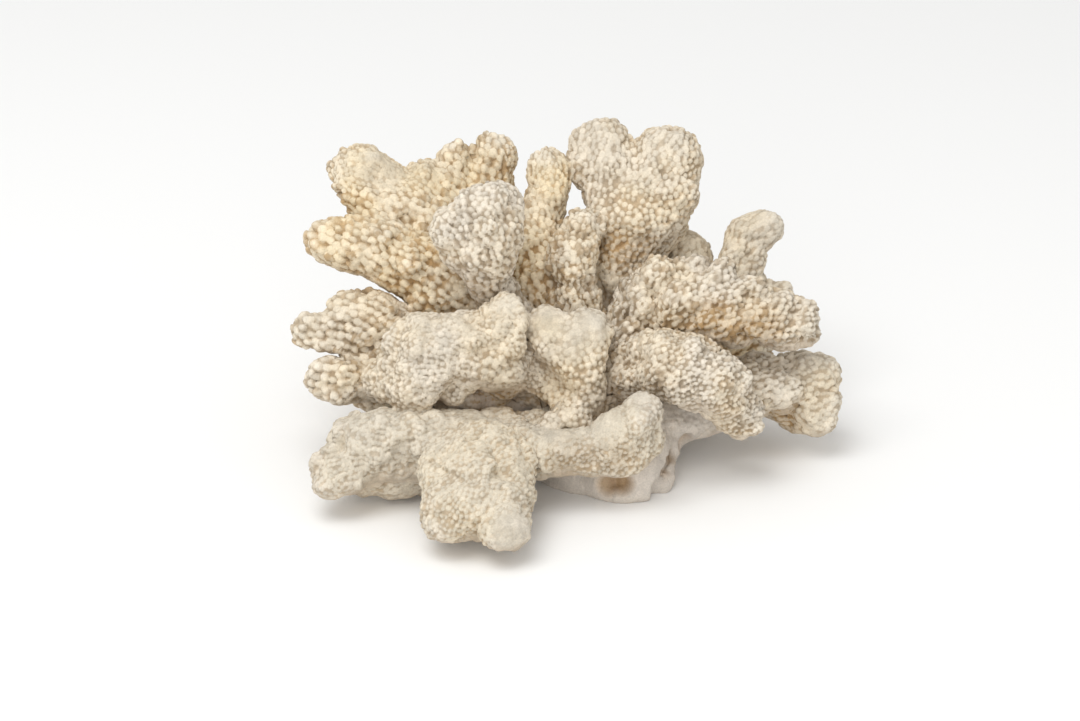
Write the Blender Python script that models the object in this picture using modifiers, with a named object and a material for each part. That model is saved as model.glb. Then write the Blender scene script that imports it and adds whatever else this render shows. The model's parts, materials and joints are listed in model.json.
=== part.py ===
# Branching coral: a bleached colony of stubby, knobbed branches that spring from one
# holdfast, which is cut off flat where it left its rock.
# Metres, +Z up. The origin lies on the flat cut. The colony opens towards -Y.

import bpy
import bmesh
from mathutils import Matrix, Vector
from mathutils.bvhtree import BVHTree

MM = 0.001

CELL = 1.5 * MM               # cell of the surface that wraps the limbs of a branch
MELTING_ROUNDS = 10           # rounds of smoothing that melt the forks
KEPT_SHARE = 0.0264           # share of the wrapped faces that a branch keeps
SWELL = 2.4 * MM              # height of the lumps along a branch
LUMP_LENGTH = 13 * MM         # distance from lump to lump
GAP = 0.4 * MM                # clearance between a branch and what it grows from
FLOOR_BLOCK = 400 * MM        # side of the block that cuts the foot flat
RING_POINTS = 5               # rings from one joint to the next

CREAM = (0.74, 0.66, 0.52)
WORN_CREAM = (0.70, 0.65, 0.56)
CHALK = (0.66, 0.56, 0.47)

# Joints of each branch's limbs: x, y, z and the limb's radius there, in mm.
# A branch starts inside the one that it grows from.
LIMBS = {
    "holdfast": [
        [(-10, 1, 2, 22), (-13, 17, 14, 23), (-12, 28, 27, 23), (-7, 40, 38, 19.5)],
        [(6, -9, 5, 21), (12, -2, 9, 17.5), (13, 10, 22, 14.5)],
        [(-4, 6, -2, 19.5), (13, -2, -1, 16)],
        [(-21, 18, 6, 19.5), (-29, 29, 20, 18)],
        [(-34, 20, 18, 14.5), (-50, 5, 29, 8.5), (-64, -9, 39, 5.5)],
        [(-46, 25, 15, 12.5), (-65, 22, 18, 8), (-78, 19, 21, 6)],
        [(13, 6, 18, 14.5), (32, 10, 21, 10), (47, 17, 23, 9.5)],
    ],
    "left_front_lobe": [
        [(-23, 14, 30, 11.5), (-44, 1, 54, 11), (-64, -9, 62, 14), (-77, -12, 62, 13.5)],
        [(-75, -13, 62, 12), (-81, -19, 49, 11)],
        [(-82, -10, 58, 10.5), (-92, -10, 45, 9)],
        [(-50, -7, 61, 10.5), (-44, -5, 73, 9)],
        [(-58, -8, 59, 12.5), (-46, -6, 53, 10.5)],
        [(-58, -8, 55, 9), (-65, -15, 45, 6)],
        [(-46, 1, 49, 10), (-49, 3, 36, 7)],
    ],
    "left_hand": [
        [(-21, 28, 25, 12.5), (-62, 20, 42, 12.5), (-84, 15, 51, 14),
         (-93, 16, 57, 11.5), (-108, 11, 60, 9.5), (-123, 10, 59, 7.5)],
        [(-91, 15, 55, 11.5), (-109, 17, 65, 8.5)],
        [(-91, 17, 56, 11.5), (-100, 20, 64, 9)],
        [(-84, 14, 49, 13), (-94, 7, 43, 10.5), (-107, 0, 43, 9), (-117, -2, 44, 8.5)],
        [(-107, 0, 43, 8.5), (-112, -1, 40, 7)],
        [(-88, 12, 44, 12.5), (-97, 7, 33, 8.5)],
    ],
    "upper_left_palm": [
        [(-21, 41, 28, 13), (-44, 36, 49, 12), (-62, 32, 68, 14.5),
         (-83, 34, 80, 13.5), (-102, 35, 87, 11.5), (-117, 37, 89, 9)],
        [(-57, 28, 65, 12.5), (-73, 25, 69, 10.5)],
        [(-63, 43, 69, 14), (-76, 54, 84, 16), (-86, 63, 93, 15.5)],
        [(-84, 59, 89, 13.5), (-94, 65, 101, 12), (-106, 66, 108, 12)],
        [(-94, 62, 100, 10), (-111, 58, 106, 6.5)],
        [(-84, 54, 91, 12.5), (-97, 53, 95, 11)],
        [(-72, 63, 87, 13), (-67, 74, 102, 8.5), (-65, 79, 112, 6)],
        [(-63, 57, 80, 13.5), (-51, 74, 97, 10), (-49, 81, 111, 9)],
        [(-86, 63, 93, 13.5), (-78, 70, 99, 12)],
    ],
    "middle_knob": [
        [(-23, 18, 39, 11), (-43, 16, 67, 8.5), (-51, 12, 87, 10.5),
         (-52, 10, 102, 14.5), (-51, 12, 110, 14)],
        [(-54, 11, 103, 12.5), (-65, 8, 108, 8)],
        [(-52, 13, 108, 13), (-44, 16, 115, 8)],
        [(-55, 11, 96, 11.5), (-61, 9, 99, 9)],
    ],
    "tall_finger": [
        [(-15, 29, 34, 11), (-29, 34, 64, 12), (-32, 43, 78, 12.5),
         (-29, 54, 92, 11), (-26, 60, 104, 9), (-26, 63, 112, 8.5)],
    ],
    "crown_branch": [
        [(-4, 36, 30, 14.5), (0, 50, 51, 13.5), (4, 53, 72, 15.5), (14, 65, 91, 18.5)],
        [(11, 64, 90, 16), (1, 70, 104, 13), (-3, 76, 116, 12.5)],
        [(-2, 73, 109, 10), (-9, 74, 117, 8.5)],
        [(17, 64, 90, 16), (23, 68, 102, 14), (24, 72, 113, 13.5)],
        [(25, 69, 105, 11), (32, 69, 111, 7)],
        [(-4, 70, 113, 8.5), (2, 65, 111, 7)],
        [(14, 69, 95, 14.5), (10, 73, 106, 11.5)],
        [(-2, 59, 99, 8.5), (13, 58, 100, 10.5), (27, 61, 100, 9.5)],
        [(-2, 53, 92, 8.5), (11, 50, 90, 10), (21, 55, 92, 9.5)],
        [(-4, 71, 110, 10), (-13, 68, 110, 6)],
    ],
    "crown_spur": [
        [(-6, 23, 46, 10), (-13, 24, 66, 8), (-17, 27, 79, 8.5),
         (-16, 31, 86, 8.5), (-11, 41, 93, 7.5)],
    ],
    "right_back_knob": [
        [(3, 43, 27, 12), (17, 59, 41, 11), (26, 63, 56, 13), (32, 68, 67, 12.5)],
    ],
    "right_finger": [
        [(13, 40, 26, 10), (38, 53, 44, 10.5), (53, 60, 57, 12),
         (57, 64, 71, 8), (58, 67, 78, 7.5), (66, 69, 82, 8)],
        [(55, 60, 57, 8.5), (68, 62, 56, 5.5), (75, 62, 57, 4.5)],
    ],
    "right_arm": [
        [(0, 24, 41, 12), (19, 22, 58, 11.5), (38, 21, 68, 14.5),
         (60, 15, 64, 11.5), (78, 13, 61, 9)],
        [(37, 23, 69, 13.5), (30, 30, 70, 11.5)],
        [(9, 19, 55, 10), (13, 27, 68, 10.5), (24, 29, 72, 10)],
    ],
    "right_low_hand": [
        [(4, 22, 23, 12.5), (38, 26, 28, 11), (61, 23, 30, 12),
         (78, 24, 32, 11), (87, 24, 33, 9.5)],
        [(59, 19, 31, 12), (68, 13, 33, 8.5)],
        [(66, 28, 21, 9.5), (78, 27, 16, 7), (88, 16, 20, 8)],
    ],
    "right_front_knob": [
        [(-2, 11, 35, 11.5), (15, 1, 49, 11.5), (31, -11, 51, 14), (45, -15, 50, 11)],
        [(37, -10, 45, 11.5), (54, -11, 32, 9)],
    ],
    "centre_knob": [
        [(-10, 14, 29, 11.5), (-14, 5, 44, 10.5), (-18, -1, 59, 12.5)],
        [(-19, -2, 58, 11), (-27, 0, 66, 9.5)],
        [(-17, -2, 57, 11.5), (-9, -1, 65, 10)],
        [(-14, -3, 54, 10.5), (-9, -9, 45, 7.5), (-8, -10, 39, 6)],
        [(-9, 4, 32, 9), (-16, -14, 32, 7.5), (-11, -19, 29, 5.5)],
        [(-16, -14, 32, 6), (-25, -21, 33, 5)],
        [(-21, 6, 46, 8.5), (-24, 0, 37, 6)],
    ],
    "front_arm": [
        [(-13, 6, 12, 13.5), (-31, -10, 20, 11), (-50, -19, 25, 11.5),
         (-70, -28, 26, 13), (-87, -30, 28, 13.5), (-101, -31, 28, 13.5)],
        [(-98, -32, 27, 12.5), (-113, -37, 20, 10)],
        [(-66, -23, 18, 14), (-86, -21, 13, 12), (-101, -23, 15, 10.5)],
        [(-46, -23, 22, 11.5), (-58, -29, 24, 13)],
    ],
    "front_foot": [
        [(-64, -36, 26, 12), (-66, -54, 21, 11.5), (-66, -72, 15, 9.5)],
        [(-55, -38, 27, 13.5), (-54, -55, 23, 14.5), (-54, -68, 20, 12.5)],
        [(-46, -39, 25, 12), (-43, -59, 20, 10.5), (-43, -80, 16, 10)],
    ],
    "front_finger": [
        [(-40, -28, 24, 10.5), (-16, -34, 27, 9), (0, -33, 33, 9), (13, -31, 43, 7.5)],
        [(-9, -33, 24, 8.5), (6, -30, 25, 10), (14, -27, 31, 8)],
    ],
    "back_left_branch": [
        [(-18, 28, 24, 12), (-38, 50, 28, 11), (-58, 72, 38, 12), (-76, 90, 48, 9)],
        [(-56, 70, 36, 11), (-42, 92, 42, 8)],
    ],
    "back_low_branch": [
        [(-22, 14, 20, 12), (-44, 30, 18, 11), (-68, 40, 22, 12), (-90, 44, 28, 8)],
        [(-66, 40, 22, 11), (-76, 62, 20, 8)],
    ],
    "back_right_branch": [
        [(2, 26, 18, 12), (24, 44, 16, 11), (46, 62, 18, 12), (64, 68, 26, 8)],
        [(44, 60, 18, 11), (40, 84, 22, 8)],
    ],
    "back_branch": [
        [(-6, 28, 20, 12), (-6, 54, 22, 11), (-4, 78, 30, 12), (-14, 96, 42, 8)],
        [(-4, 76, 29, 11), (14, 92, 36, 8)],
    ],
}

# Knobs on the branches: x, y, z and radius in mm.
KNOBS = {
    "right_arm": [
        (19, 24, 78, 7), (33, 27, 80, 6.5), (46, 21, 79, 7), (55, 14, 76, 6.5),
        (27, 12, 70, 6), (43, 8, 65, 6), (12, 19, 70, 6), (69, 11, 71, 5.5),
        (80, 7, 65, 4.5),
    ],
    "middle_knob": [
        (-57, 9, 119, 5), (-46, 9, 121, 5), (-41, 5, 110, 4.5), (-68, 3, 105, 4.5),
        (-57, 0, 97, 5), (-48, 0, 99, 5), (-61, 6, 114, 5), (-50, -1, 113, 4.5),
    ],
    "left_front_lobe": [
        (-87, -14, 67, 6), (-78, -15, 73, 5.5), (-66, -14, 74, 5.5), (-58, -18, 69, 5),
        (-71, -23, 58, 5.5), (-84, -24, 58, 5.5), (-42, -12, 65, 5), (-55, -18, 56, 4.5),
        (-77, -22, 67, 5.5),
    ],
    "crown_branch": [
        (-9, 65, 104, 5), (0, 61, 112, 5), (33, 67, 118, 4.5), (33, 57, 102, 5),
        (19, 59, 111, 5.5), (28, 67, 123, 4.5),
    ],
    "upper_left_palm": [
        (-108, 53, 103, 4.5), (-101, 61, 115, 5), (-78, 65, 108, 5), (-111, 35, 95, 4.5),
        (-94, 28, 94, 5.5), (-82, 22, 85, 5.5),
    ],
    "left_hand": [
        (-107, 17, 71, 4.5), (-97, 15, 69, 4.5), (-126, 8, 64, 4.5), (-121, 4, 58, 4),
        (-113, 6, 66, 4.5), (-119, -6, 49, 4.5), (-113, -8, 40, 4.5), (-110, -6, 49, 4),
    ],
    "right_finger": [
        (70, 67, 86, 4.5), (68, 64, 79, 4), (52, 58, 71, 5), (61, 58, 67, 5),
    ],
    "right_front_knob": [
        (21, -7, 61, 5.5), (32, -14, 62, 5.5), (42, -18, 59, 5.5), (51, -20, 55, 5),
        (24, -20, 53, 5.5), (38, -23, 48, 5), (49, -20, 42, 4.5), (58, -17, 31, 4),
        (54, -14, 41, 4.5),
    ],
    "right_low_hand": [
        (91, 21, 39, 4), (91, 18, 31, 4), (92, 13, 25, 4), (80, 19, 40, 4.5),
        (74, 10, 36, 5),
    ],
    "front_foot": [
        (-70, -71, 23, 5), (-63, -61, 31, 6), (-50, -62, 32, 6), (-38, -74, 24, 4.5),
        (-57, -78, 21, 5), (-69, -79, 15, 4.5), (-45, -87, 13, 4.5),
    ],
    "front_arm": [
        (-118, -39, 27, 4.5), (-116, -44, 17, 4.5), (-108, -35, 36, 5.5), (-94, -36, 39, 5.5),
        (-82, -34, 38, 5), (-107, -44, 19, 4.5), (-100, -40, 35, 5), (-86, -39, 35, 5),
    ],
    "front_finger": [
        (-21, -40, 30, 4), (-5, -41, 29, 4), (11, -38, 41, 4),
    ],
    "centre_knob": [
        (-27, -9, 63, 4.5), (-5, -8, 60, 4),
    ],
    "tall_finger": [
        (-29, 54, 106, 3.5), (-34, 38, 89, 4.5), (-28, 32, 81, 4),
    ],
}

# Blocks broken off the holdfast's front right corner: two opposite corners, in mm.
BREAKS = [
    [(16, -45, -5), (50, -20, 9)],
    [(26, -45, -5), (50, 30, 9.5)],
]

# Worn hollows in the holdfast: each is swept between two balls, x, y, z and radius in mm.
HOLLOWS = [
    [(-3, -30, 8, 2.5), (4, -31, 10, 3)],
    [(21, -21, 9, 2), (26, -12, 14, 2.5)],
    [(26, -12, 14, 2.5), (35, -1, 18, 2.5)],
]

COLOURS = {
    "holdfast": CHALK,
    "front_arm": WORN_CREAM,
    "front_foot": WORN_CREAM,
    "front_finger": WORN_CREAM,
}


def empty_scene():
    for thing in list(bpy.data.objects):
        bpy.data.objects.remove(thing, do_unlink=True)


def new_collection(name):
    collection = bpy.data.collections.new(name)
    bpy.context.scene.collection.children.link(collection)
    return collection


def coral_material(name, colour):
    material = bpy.data.materials.new(name)
    material.use_nodes = True
    material.diffuse_color = (*colour, 1)
    shader = material.node_tree.nodes["Principled BSDF"]
    shader.inputs["Base Color"].default_value = (*colour, 1)
    shader.inputs["Roughness"].default_value = 0.9
    shader.inputs["Metallic"].default_value = 0
    return material


def lump_texture():
    texture = bpy.data.textures.new("lumps", "CLOUDS")
    texture.noise_scale = LUMP_LENGTH
    texture.noise_depth = 1
    return texture


def add_ball(shape, ball):
    x, y, z, radius = ball
    place = Matrix.Translation(Vector((x, y, z)) * MM)
    bmesh.ops.create_uvsphere(shape, u_segments=24, v_segments=16, radius=radius * MM, matrix=place)


def add_limb(shape, joints):
    """Add to the bmesh a tube through the joints, thick as they say, with round ends."""
    curve = bpy.data.curves.new("limb", "CURVE")
    curve.dimensions = "3D"
    curve.bevel_depth = MM
    curve.bevel_resolution = 4
    curve.resolution_u = RING_POINTS
    curve.use_fill_caps = True
    spline = curve.splines.new("BEZIER")
    spline.bezier_points.add(len(joints) - 1)
    spline.radius_interpolation = "CARDINAL"
    for point, (x, y, z, radius) in zip(spline.bezier_points, joints):
        point.co = Vector((x, y, z)) * MM
        point.radius = radius
        point.handle_left_type = "AUTO"
        point.handle_right_type = "AUTO"
    limb = bpy.data.objects.new("limb", curve)
    bpy.context.scene.collection.objects.link(limb)
    evaluated = limb.evaluated_get(bpy.context.evaluated_depsgraph_get())
    tube = bpy.data.meshes.new_from_object(evaluated)
    shape.from_mesh(tube)
    bpy.data.objects.remove(limb)
    bpy.data.meshes.remove(tube)
    bpy.data.curves.remove(curve)
    add_ball(shape, joints[0])
    add_ball(shape, joints[-1])


def branch_mesh(name, limbs):
    shape = bmesh.new()
    for joints in limbs:
        add_limb(shape, joints)
    for ball in KNOBS.get(name, []):
        add_ball(shape, ball)
    bmesh.ops.remove_doubles(shape, verts=shape.verts, dist=0.001 * MM)
    mesh = bpy.data.meshes.new(name)
    shape.to_mesh(mesh)
    shape.free()
    return mesh


def wrap_limbs(thing, texture):
    """Wrap the limbs in one skin, give it lumps, melt its forks and thin it out."""
    skin = thing.modifiers.new("skin", "REMESH")
    skin.mode = "VOXEL"
    skin.voxel_size = CELL
    skin.use_smooth_shade = True
    lumps = thing.modifiers.new("lumps", "DISPLACE")
    lumps.texture = texture
    lumps.texture_coords = "GLOBAL"
    lumps.strength = SWELL
    melt = thing.modifiers.new("melt", "SMOOTH")
    melt.factor = 0.5
    melt.iterations = MELTING_ROUNDS
    thin = thing.modifiers.new("thin", "DECIMATE")
    thin.ratio = KEPT_SHARE


def settled(thing):
    """Give the object the mesh that its modifiers make, with no modifiers left."""
    evaluated = thing.evaluated_get(bpy.context.evaluated_depsgraph_get())
    made = bpy.data.meshes.new_from_object(evaluated)
    thing.modifiers.clear()
    thing.data = made
    return thing


def branch_object(name, mesh, texture, collection):
    thing = bpy.data.objects.new(name, mesh)
    collection.objects.link(thing)
    wrap_limbs(thing, texture)
    return settled(thing)


def hide_cutter(thing):
    thing.hide_render = True
    thing.display_type = "WIRE"


def room_cutter(branch, collection):
    """The same branch, larger by the gap all over."""
    thing = bpy.data.objects.new(branch.name + "_room", branch.data.copy())
    collection.objects.link(thing)
    grow = thing.modifiers.new("grow", "DISPLACE")
    grow.strength = GAP
    grow.mid_level = 0
    hide_cutter(thing)
    return settled(thing)


def helper(name, shape, collection):
    """A cutter made of what the bmesh holds."""
    mesh = bpy.data.meshes.new(name)
    shape.to_mesh(mesh)
    shape.free()
    thing = bpy.data.objects.new(name, mesh)
    collection.objects.link(thing)
    hide_cutter(thing)
    return thing


def block_cutter(name, low, high, collection):
    """A block between two opposite corners in metres."""
    low = Vector(low)
    high = Vector(high)
    place = Matrix.LocRotScale((low + high) / 2, None, high - low)
    shape = bmesh.new()
    bmesh.ops.create_cube(shape, size=1, matrix=place)
    return helper(name, shape, collection)


def hollow_cutter(name, balls, collection):
    """The space that a ball sweeps as it goes from one place and radius to another."""
    shape = bmesh.new()
    for x, y, z, radius in balls:
        place = Matrix.Translation(Vector((x, y, z)) * MM)
        bmesh.ops.create_icosphere(shape, subdivisions=2, radius=radius * MM, matrix=place)
    hull = bmesh.ops.convex_hull(shape, input=shape.verts)
    inner = [part for part in hull["geom_interior"] if isinstance(part, bmesh.types.BMVert)]
    bmesh.ops.delete(shape, geom=inner, context="VERTS")
    bmesh.ops.recalc_face_normals(shape, faces=shape.faces)
    return helper(name, shape, collection)


def holdfast_cutters(collection):
    """What is missing from the holdfast: all below the flat cut, the breaks and the hollows."""
    half = FLOOR_BLOCK / 2
    cutters = [block_cutter("below_cut", (-half, -half, -half), (half, half, 0), collection)]
    for number, (low, high) in enumerate(BREAKS):
        corners = [Vector(corner) * MM for corner in (low, high)]
        cutters.append(block_cutter(f"break_{number}", *corners, collection))
    for number, balls in enumerate(HOLLOWS):
        cutters.append(hollow_cutter(f"hollow_{number}", balls, collection))
    return cutters


def skins_cross(thing, other):
    graph = bpy.context.evaluated_depsgraph_get()
    first = BVHTree.FromObject(thing, graph)
    second = BVHTree.FromObject(other, graph)
    return bool(first.overlap(second))


def largest_body(shape):
    """The vertices of the body in the bmesh that has the most of them."""
    waiting = set(shape.verts)
    largest = set()
    while waiting:
        front = {waiting.pop()}
        body = set(front)
        while front:
            front = {edge.other_vert(vertex) for vertex in front for edge in vertex.link_edges}
            front -= body
            body |= front
        waiting -= body
        largest = max(largest, body, key=len)
    return largest


def drop_crumbs(mesh):
    shape = bmesh.new()
    shape.from_mesh(mesh)
    kept = largest_body(shape)
    crumbs = [vertex for vertex in shape.verts if vertex not in kept]
    bmesh.ops.delete(shape, geom=crumbs, context="VERTS")
    shape.to_mesh(mesh)
    shape.free()


def cut(thing, cutter):
    modifier = thing.modifiers.new("cut", "BOOLEAN")
    modifier.operation = "DIFFERENCE"
    modifier.solver = "EXACT"
    modifier.object = cutter
    drop_crumbs(settled(thing).data)


def main():
    empty_scene()
    coral = new_collection("branching_coral")
    cutters = new_collection("cutters")
    texture = lump_texture()
    rooms = []
    for name, limbs in LIMBS.items():
        mesh = branch_mesh(name, limbs)
        mesh.materials.append(coral_material(name, COLOURS.get(name, CREAM)))
        branch = branch_object(name, mesh, texture, coral)
        room = room_cutter(branch, cutters)
        for earlier in rooms:
            if skins_cross(branch, earlier):
                cut(branch, earlier)
        if name == "holdfast":
            for cutter in holdfast_cutters(cutters):
                cut(branch, cutter)
        rooms.append(room)


main()
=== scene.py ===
import json
import math

import bmesh
import bpy
import numpy as np
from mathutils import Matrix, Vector
from mathutils.bvhtree import BVHTree
from mathutils.kdtree import KDTree


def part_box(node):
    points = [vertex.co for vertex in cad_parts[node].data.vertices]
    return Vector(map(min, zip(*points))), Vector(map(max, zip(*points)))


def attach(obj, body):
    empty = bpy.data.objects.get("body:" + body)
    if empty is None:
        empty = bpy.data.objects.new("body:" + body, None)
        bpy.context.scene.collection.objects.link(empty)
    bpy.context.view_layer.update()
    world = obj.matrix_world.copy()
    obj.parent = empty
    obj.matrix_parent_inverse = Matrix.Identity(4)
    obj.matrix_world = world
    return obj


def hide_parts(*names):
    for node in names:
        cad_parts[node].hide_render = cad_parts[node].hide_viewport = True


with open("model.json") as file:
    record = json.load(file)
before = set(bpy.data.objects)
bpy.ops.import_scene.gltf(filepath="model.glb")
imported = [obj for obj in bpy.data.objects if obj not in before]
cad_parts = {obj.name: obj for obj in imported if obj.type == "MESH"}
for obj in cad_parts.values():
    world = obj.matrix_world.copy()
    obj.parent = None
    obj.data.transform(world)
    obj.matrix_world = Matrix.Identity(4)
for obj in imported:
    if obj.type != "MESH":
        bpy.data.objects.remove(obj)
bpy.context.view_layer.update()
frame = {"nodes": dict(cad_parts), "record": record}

mm = 0.001
branchNames = sorted(frame["nodes"])
slotOf = {part["node"]: part["material_slot"] for part in frame["record"]["subparts"]}


# helpers for node trees and meshes
def put(tree, kind, inputs=None, **settings):
    node = tree.nodes.new(kind)
    for name, value in settings.items():
        setattr(node, name, value)
    for key, value in (inputs or {}).items():
        if isinstance(value, bpy.types.NodeSocket):
            tree.links.new(value, node.inputs[key])
        else:
            node.inputs[key].default_value = value
    return node


def maths(tree, operation, *values, clamp=False):
    inputs = dict(enumerate(values))
    return put(tree, "ShaderNodeMath", inputs, operation=operation, use_clamp=clamp).outputs[0]


def vectorMaths(tree, operation, *values):
    node = put(tree, "ShaderNodeVectorMath", dict(enumerate(values)), operation=operation)
    return node.outputs["Value" if operation in ("LENGTH", "DISTANCE", "DOT_PRODUCT") else "Vector"]


def scaled(tree, vector, factor):
    inputs = {0: vector, "Scale": factor}
    return put(tree, "ShaderNodeVectorMath", inputs, operation="SCALE").outputs[0]


def ramp(tree, value, low, high, toLow=0.0, toHigh=1.0):
    node = put(tree, "ShaderNodeMapRange", {0: value, 1: low, 2: high, 3: toLow, 4: toHigh})
    node.interpolation_type = "SMOOTHSTEP"
    return node.outputs[0]


def plainMesh(thing):
    depsgraph = bpy.context.evaluated_depsgraph_get()
    made = bpy.data.meshes.new_from_object(thing.evaluated_get(depsgraph))
    thing.modifiers.clear()
    thing.data = made
    return made


def arrayOf(items, field, width=1, kind=np.float32):
    values = np.empty(len(items) * width, kind)
    items.foreach_get(field, values)
    return values.reshape(-1, width) if width > 1 else values


def addAttribute(mesh, name, values, domain="POINT", kind="FLOAT"):
    layer = mesh.attributes.new(name, kind, domain)
    layer.data.foreach_set("value", np.ascontiguousarray(values))


def smoothStep(values, low, high):
    t = np.clip((values - low) / (high - low), 0, 1)
    return t * t * (3 - 2 * t)


# the skin: one closed surface round the holdfast and all its branches
skinPlan = {
    "swellMm": 0.5,             # closes the joints between the frame's branches
    "cellMm": 1.32,             # size of the skin's faces, before the beads halve it
    "meltRounds": 12,           # smoothing of the branches and their forks
    "chalkRounds": 2,           # smoothing of the broken foot
    "chalkTopMm": 16,           # the foot's height
    "footMm": (-4, 4),          # the foot's middle, x and y
    "footRadiusMm": 38,
    "quickCells": 1.7,
}


def swollenBranch(name):
    shape = bmesh.new()
    shape.from_mesh(frame["nodes"][name].data)
    bmesh.ops.remove_doubles(shape, verts=shape.verts, dist=0.01 * mm)
    bmesh.ops.recalc_face_normals(shape, faces=shape.faces)
    shape.normal_update()
    for vertex in shape.verts:
        vertex.co += vertex.normal * skinPlan["swellMm"] * mm
    return shape


def wrapBranches():
    gathered = bmesh.new()
    trees = {}
    for name in branchNames:
        shape = swollenBranch(name)
        trees[name] = BVHTree.FromBMesh(shape)
        single = bpy.data.meshes.new("single")
        shape.to_mesh(single)
        shape.free()
        gathered.from_mesh(single)
        bpy.data.meshes.remove(single)
    whole = bpy.data.meshes.new("coralSkin")
    gathered.to_mesh(whole)
    gathered.free()
    skin = bpy.data.objects.new("coralSkin", whole)
    bpy.context.scene.collection.objects.link(skin)
    wrap = skin.modifiers.new("wrap", "REMESH")
    wrap.mode = "VOXEL"
    wrap.voxel_size = skinPlan["cellMm"] * mm * 1
    plainMesh(skin)
    return skin, trees


def keepOutside(mesh):
    # drops the closed bubbles that the wrap leaves between branches
    ends = arrayOf(mesh.edges, "vertices", 2, np.int32)
    body = np.arange(len(mesh.vertices))
    while True:
        lower = np.minimum(body[ends[:, 0]], body[ends[:, 1]])
        before = body.copy()
        np.minimum.at(body, ends[:, 0], lower)
        np.minimum.at(body, ends[:, 1], lower)
        body = body[body]
        if (body == before).all():
            break
    outside = np.bincount(body).argmax()
    if (body != outside).any():
        shape = bmesh.new()
        shape.from_mesh(mesh)
        shape.verts.ensure_lookup_table()
        bubbles = [shape.verts[i] for i in np.nonzero(body != outside)[0]]
        bmesh.ops.delete(shape, geom=bubbles, context="VERTS")
        shape.to_mesh(mesh)
        shape.free()


def meltSkin(skin):
    keepOutside(skin.data)
    places = arrayOf(skin.data.vertices, "co", 3)
    foot = skin.vertex_groups.new(name="foot")
    low, high = (np.array(corner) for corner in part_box("holdfast"))
    inFoot = (places[:, 2] < skinPlan["chalkTopMm"] * mm)
    inFoot &= (np.abs(places[:, :2] - (low + high)[:2] / 2) < (high - low)[:2] / 2 + mm).all(axis=1)
    foot.add([int(i) for i in np.nonzero(inFoot)[0]], 1.0, "REPLACE")
    for name, rounds, inverted in (
        ("footChips", skinPlan["chalkRounds"], False),
        ("branchMelt", skinPlan["meltRounds"], True),
    ):
        melt = skin.modifiers.new(name, "SMOOTH")
        melt.iterations = rounds
        melt.vertex_group = "foot"
        melt.invert_vertex_group = inverted
    plainMesh(skin)
    skin.vertex_groups.clear()
    print("skin wrapped and melted:", len(skin.data.vertices), "points")


skin, branchTrees = wrapBranches()
meltSkin(skin)


# what each part of the skin is like: how open it lies, how near a tip, how worn
surveyPlan = {
    "cellMm": 2.4,              # the survey is made on a coarser copy
    "rays": 40,
    "reachMm": 45,              # how far a ray looks for what shades it
    "liftMm": 0.6,              # how far above the skin it starts
    "hitLight": 0.35,           # light that still comes past a far hit
    "floorLight": 0.6,          # light from the floor, for what lies low and looks down
    "floorSlope": -0.1,
    "highMm": 30,
    "tipRounds": 45,            # the rounds of smoothing that tips shrink most under
    "neighbours": 4,            # points of the copy that each point of the skin reads
    "blendMm": 0.3,
    "borderRounds": 14,         # votes on which branch a face belongs to
    "borderHold": 1.2,          # a face's own vote, against one of each neighbour
}


def coarseCopy(skin):
    coarse = bpy.data.objects.new("survey", skin.data.copy())
    bpy.context.scene.collection.objects.link(coarse)
    wrap = coarse.modifiers.new("wrap", "REMESH")
    wrap.mode = "VOXEL"
    wrap.voxel_size = surveyPlan["cellMm"] * mm
    plainMesh(coarse)
    return coarse


def hemisphere(count):
    # directions about +Z, thinned towards the horizon as light falls
    steps = np.arange(count) + 0.5
    radius = np.sqrt(steps / count)
    turn = steps * math.pi * (3 - math.sqrt(5))
    return np.stack([radius * np.cos(turn), radius * np.sin(turn), np.sqrt(1 - radius**2)], 1)


def openness(mesh):
    tree = BVHTree.FromPolygons(
        [v.co for v in mesh.vertices], [p.vertices[:] for p in mesh.polygons]
    )
    rays = hemisphere(surveyPlan["rays"])
    reach = surveyPlan["reachMm"] * mm
    result = np.empty(len(mesh.vertices), np.float32)
    for index, vertex in enumerate(mesh.vertices):
        turn = Vector((0, 0, 1)).rotation_difference(vertex.normal).to_matrix()
        start = vertex.co + vertex.normal * surveyPlan["liftMm"] * mm
        seen = 0.0
        for ray in rays:
            way = turn @ Vector(ray)
            hit = tree.ray_cast(start, way, reach)
            if hit[0] is None:
                lit = way.z > surveyPlan["floorSlope"] or start.z > surveyPlan["highMm"] * mm
                seen += 1.0 if lit else surveyPlan["floorLight"]
            else:
                seen += surveyPlan["hitLight"] * hit[3] / reach
        result[index] = seen / len(rays)
    return result


def tipness(mesh):
    # how far each point sinks when the whole is smoothed hard, in millimetres
    places = arrayOf(mesh.vertices, "co", 3).astype(np.float64)
    ends = arrayOf(mesh.edges, "vertices", 2, np.int32)
    count = np.bincount(ends.ravel(), minlength=len(places))[:, None]
    moved = places.copy()
    for _ in range(surveyPlan["tipRounds"]):
        total = np.zeros_like(moved)
        np.add.at(total, ends[:, 0], moved[ends[:, 1]])
        np.add.at(total, ends[:, 1], moved[ends[:, 0]])
        moved = (moved + total / count) / 2
    normals = arrayOf(mesh.vertices, "normal", 3)
    return ((places - moved) * normals).sum(axis=1) / mm


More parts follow.
